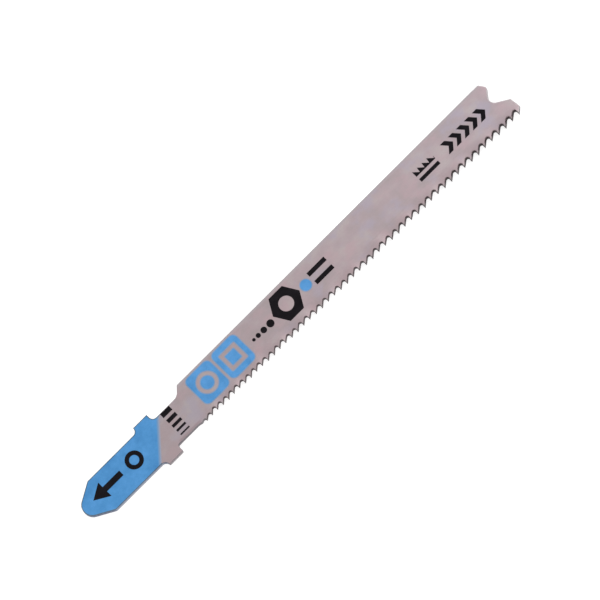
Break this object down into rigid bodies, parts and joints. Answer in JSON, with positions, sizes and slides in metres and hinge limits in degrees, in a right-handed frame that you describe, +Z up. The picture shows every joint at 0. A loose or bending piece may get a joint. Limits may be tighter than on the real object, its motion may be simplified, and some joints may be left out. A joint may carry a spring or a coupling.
{
  "type": "jigsaw blade",
  "caption": "Flat jigsaw blade with a T-shaped shank, fine wavy-set teeth of growing pitch and a notched nose, printed on its top face.",
  "frame": {"origin": "on the shank's centreline and the blade's underside, in the plane of the two lug shoulders that face the teeth", "axes": "+X from the shank to the nose, +Y towards the back edge with the teeth on -Y, +Z up out of the printed face"},
  "size_m": [0.092, 0.0082, 0.0014],
  "materials": {
    "steel": "satin ground high-speed steel, warm grey, with a blue printed shank on the top face"
  },
  "bodies": {
    "root": {"blade": "steel"}
  },
  "joints": []
}
